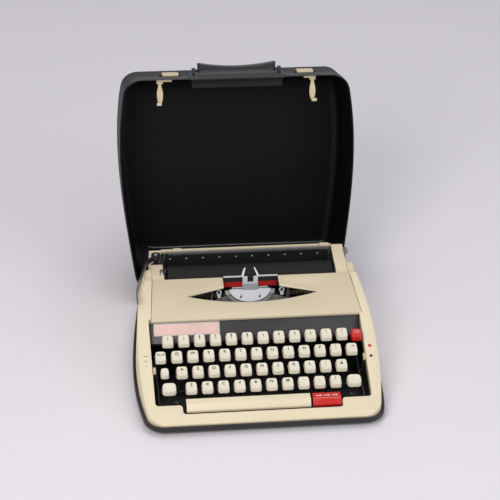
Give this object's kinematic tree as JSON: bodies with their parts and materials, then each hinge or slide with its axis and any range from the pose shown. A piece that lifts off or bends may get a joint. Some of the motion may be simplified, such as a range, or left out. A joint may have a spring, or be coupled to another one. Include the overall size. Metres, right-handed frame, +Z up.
{
  "type": "portable manual typewriter in its carrying case",
  "caption": "Portable mechanical typewriter fixed in a tray case, lid hinged open behind; keys, carriage, platen, levers, lid, latches and handle move.",
  "frame": {"origin": "centre of the case's plan outline, on the table surface under the four feet", "axes": "+X to the typist's right, +Y to the rear where the lid is hinged, +Z up"},
  "size_m": [0.2964, 0.4388, 0.291],
  "materials": {
    "case_black": "textured black moulding",
    "foot_rubber": "matt black",
    "cream": "semi-gloss warm cream, fine grain",
    "panel_black": "gloss black",
    "badge": "satin sheet, bare",
    "frame_steel": "satin dark grey",
    "bright_steel": "bright ground steel",
    "chrome": "polished",
    "type_metal": "oiled steel",
    "key_cream": "glossy moulded",
    "key_red": "glossy moulded",
    "platen_rubber": "ground rubber",
    "knob_black": "glossy moulded",
    "grip_black": "glossy moulded",
    "ribbon_ink": "inked cloth, black over red",
    "spool_steel": "pressed steel with wound cloth",
    "lever_cream": "glossy moulded"
  },
  "bodies": {
    "machine": {"base_tray": "case_black", "rubber_feet": "foot_rubber", "body_shell": "cream", "key_panel": "panel_black", "badge_plate": "badge", "main_frame": "frame_steel", "carriage_rail": "frame_steel", "type_segment": "bright_steel", "segment_plate": "bright_steel", "type_guide": "bright_steel", "typebars": "type_metal", "ribbon_posts": "bright_steel", "hinge_brackets": "bright_steel", "catch_plates": "bright_steel"},
    "cover": {"ribbon_cover": "cream"},
    "race": {"ball_race": "bright_steel"},
    "carriage": {"carriage_frame": "frame_steel", "carriage_end_left": "cream", "carriage_end_right": "cream", "paper_table": "panel_black", "margin_rail": "cream"},
    "platen": {"platen": "platen_rubber", "platen_knob_left": "knob_black", "platen_knob_right": "knob_black", "line_ratchet": "bright_steel"},
    "feed_rollers": {"feed_rollers": "platen_rubber"},
    "bail": {"paper_bail": "bright_steel"},
    "stop_left": {"margin_stop_left": "knob_black"},
    "stop_right": {"margin_stop_right": "knob_black"},
    "return_lever": {"return_lever": "bright_steel"},
    "paper_release": {"paper_release": "lever_cream"},
    "lid": {"case_lid": "case_black", "lid_hinge_leaves": "bright_steel", "handle_bracket": "panel_black"},
    "latch_left": {"latch_left": "chrome"},
    "latch_right": {"latch_right": "chrome"},
    "handle": {"handle_grip": "grip_black"},
    "number_keys": {"number_row_caps": "key_cream", "number_row_levers": "type_metal"},
    "upper_keys": {"upper_row_caps": "key_cream", "upper_row_levers": "type_metal"},
    "home_keys": {"home_row_caps": "key_cream", "home_row_levers": "type_metal"},
    "lower_keys": {"lower_row_caps": "key_cream", "lower_row_levers": "type_metal"},
    "centre_key": {"key_centre": "key_cream"},
    "shift_keys": {"shift_keys": "key_cream"},
    "shift_lock": {"shift_lock_key": "key_cream"},
    "margin_release": {"margin_release_key": "key_cream"},
    "backspace": {"backspace_key": "key_cream"},
    "tab": {"tab_key": "key_red"},
    "space": {"space_bar": "key_cream"},
    "repeat": {"repeat_key": "key_red"},
    "colour": {"colour_lever": "lever_cream"},
    "touch": {"touch_lever": "lever_cream"},
    "typebar": {"typebar_centre": "type_metal"},
    "ribbon_lift": {"ribbon_holder": "bright_steel", "ribbon": "ribbon_ink"},
    "spool_left": {"ribbon_spool_left": "spool_steel"},
    "spool_right": {"ribbon_spool_right": "spool_steel"}
  },
  "joints": [
    {"name": "cover_lift", "type": "slide", "parent": "machine", "child": "cover", "axis": [0, 0, 1], "range_m": [0, 0.03]},
    {"name": "carriage_right", "type": "slide", "parent": "machine", "child": "race", "axis": [1, 0, 0], "range_m": [-0.003, 0.0885]},
    {"name": "carriage_left", "type": "slide", "parent": "race", "child": "carriage", "axis": [-1, 0, 0], "range_m": [0, 0.0915]},
    {"name": "platen_turn", "type": "hinge", "parent": "carriage", "child": "platen", "pos_m": [0.003, 0.0745, 0.08], "axis": [1, 0, 0], "continuous": true},
    {"name": "feed_roller_turn", "type": "hinge", "parent": "carriage", "child": "feed_rollers", "pos_m": [0.003, 0.0932, 0.0712], "axis": [1, 0, 0], "continuous": true},
    {"name": "bail_swing", "type": "hinge", "parent": "carriage", "child": "bail", "pos_m": [0.003, 0.106, 0.078], "axis": [1, 0, 0], "range_deg": [0, 33]},
    {"name": "left_margin", "type": "slide", "parent": "carriage", "child": "stop_left", "axis": [1, 0, 0], "range_m": [-0.008, 0.07]},
    {"name": "right_margin", "type": "slide", "parent": "carriage", "child": "stop_right", "axis": [-1, 0, 0], "range_m": [-0.002, 0.07]},
    {"name": "return_swing", "type": "hinge", "parent": "carriage", "child": "return_lever", "pos_m": [-0.111, 0.0995, 0.0976], "axis": [0, 0, -1], "range_deg": [-11, 0]},
    {"name": "release_swing", "type": "hinge", "parent": "carriage", "child": "paper_release", "pos_m": [0.124, 0.098, 0.08], "axis": [1, 0, 0], "range_deg": [-14, 14]},
    {"name": "lid_swing", "type": "hinge", "parent": "machine", "child": "lid", "pos_m": [0, 0.141, 0.0147], "axis": [-1, 0, 0], "range_deg": [-107.4, 0]},
    {"name": "left_latch", "type": "slide", "parent": "lid", "child": "latch_left", "axis": [-1, 0, 0], "range_m": [0, 0.003]},
    {"name": "right_latch", "type": "slide", "parent": "lid", "child": "latch_right", "axis": [1, 0, 0], "range_m": [0, 0.003]},
    {"name": "handle_fold", "type": "hinge", "parent": "lid", "child": "handle", "pos_m": [0.001, 0.24053, 0.28113], "axis": [1, 0, 0], "range_deg": [0, 50]},
    {"name": "number_key_press", "type": "hinge", "parent": "machine", "child": "number_keys", "pos_m": [0, 0.108, 0.024], "axis": [1, 0, 0], "range_deg": [0, 4.79], "stiffness_Nm_per_rad": 1.5, "springref_deg": -8.02},
    {"name": "upper_key_press", "type": "hinge", "parent": "machine", "child": "upper_keys", "pos_m": [0, 0.108, 0.024], "axis": [1, 0, 0], "range_deg": [0, 4.24], "stiffness_Nm_per_rad": 1.5, "springref_deg": -8.02},
    {"name": "home_key_press", "type": "hinge", "parent": "machine", "child": "home_keys", "pos_m": [0, 0.108, 0.024], "axis": [1, 0, 0], "range_deg": [0, 3.81], "stiffness_Nm_per_rad": 1.5, "springref_deg": -8.02},
    {"name": "lower_key_press", "type": "hinge", "parent": "machine", "child": "lower_keys", "pos_m": [0, 0.108, 0.024], "axis": [1, 0, 0], "range_deg": [0, 3.45], "stiffness_Nm_per_rad": 1.5, "springref_deg": -8.02},
    {"name": "centre_key_press", "type": "hinge", "parent": "machine", "child": "centre_key", "pos_m": [0, 0.108, 0.024], "axis": [1, 0, 0], "range_deg": [0, 3.81], "stiffness_Nm_per_rad": 0.3, "springref_deg": -8.59},
    {"name": "shift_press", "type": "hinge", "parent": "machine", "child": "shift_keys", "pos_m": [0, 0.108, 0.024], "axis": [1, 0, 0], "range_deg": [0, 2.3], "stiffness_Nm_per_rad": 1.2, "springref_deg": -7.45},
    {"name": "shift_lock_press", "type": "hinge", "parent": "machine", "child": "shift_lock", "pos_m": [0, 0.108, 0.024], "axis": [1, 0, 0], "range_deg": [0, 2.54], "stiffness_Nm_per_rad": 0.5, "springref_deg": -6.88},
    {"name": "margin_release_press", "type": "hinge", "parent": "machine", "child": "margin_release", "pos_m": [0, 0.108, 0.024], "axis": [1, 0, 0], "range_deg": [0, 2.83], "stiffness_Nm_per_rad": 0.5, "springref_deg": -6.88},
    {"name": "backspace_press", "type": "hinge", "parent": "machine", "child": "backspace", "pos_m": [0, 0.108, 0.024], "axis": [1, 0, 0], "range_deg": [0, 2.83], "stiffness_Nm_per_rad": 0.5, "springref_deg": -6.88},
    {"name": "tab_press", "type": "hinge", "parent": "machine", "child": "tab", "pos_m": [0, 0.108, 0.024], "axis": [1, 0, 0], "range_deg": [0, 3.16], "stiffness_Nm_per_rad": 0.5, "springref_deg": -6.88},
    {"name": "space_press", "type": "hinge", "parent": "machine", "child": "space", "pos_m": [0, -0.062, 0.0084], "axis": [1, 0, 0], "range_deg": [0, 5.2], "stiffness_Nm_per_rad": 0.4, "springref_deg": -6.88},
    {"name": "repeat_press", "type": "hinge", "parent": "machine", "child": "repeat", "pos_m": [0, -0.062, 0.0084], "axis": [1, 0, 0], "range_deg": [0, 5.2], "stiffness_Nm_per_rad": 0.2, "springref_deg": -6.88},
    {"name": "colour_set", "type": "hinge", "parent": "machine", "child": "colour", "pos_m": [0.125, -0.06, 0.0274], "axis": [1, 0, 0], "range_deg": [-10, 10]},
    {"name": "touch_set", "type": "hinge", "parent": "machine", "child": "touch", "pos_m": [-0.125, -0.066, 0.02466], "axis": [1, 0, 0], "range_deg": [-10, 10]},
    {"name": "typebar_swing", "type": "hinge", "parent": "machine", "child": "typebar", "pos_m": [0.0018, 0.04643, 0.05746], "axis": [-1, 0, 0], "range_deg": [0, 156.9]},
    {"name": "ribbon_rise", "type": "slide", "parent": "machine", "child": "ribbon_lift", "axis": [0, 0, 1], "range_m": [0, 0.00705]},
    {"name": "spool_left_turn", "type": "hinge", "parent": "machine", "child": "spool_left", "pos_m": [-0.098, 0.024, 0.06], "axis": [0, 0, 1], "continuous": true},
    {"name": "spool_right_turn", "type": "hinge", "parent": "machine", "child": "spool_right", "pos_m": [0.098, 0.024, 0.06], "axis": [0, 0, 1], "continuous": true}
  ],
  "couplings": [
    {"joint": "typebar_swing", "follows": "centre_key_press", "ratio": 41.05},
    {"joint": "ribbon_rise", "follows": "centre_key_press", "m_per_rad": 0.10527},
    {"joint": "feed_roller_turn", "follows": "platen_turn", "ratio": -3.1846}
  ]
}
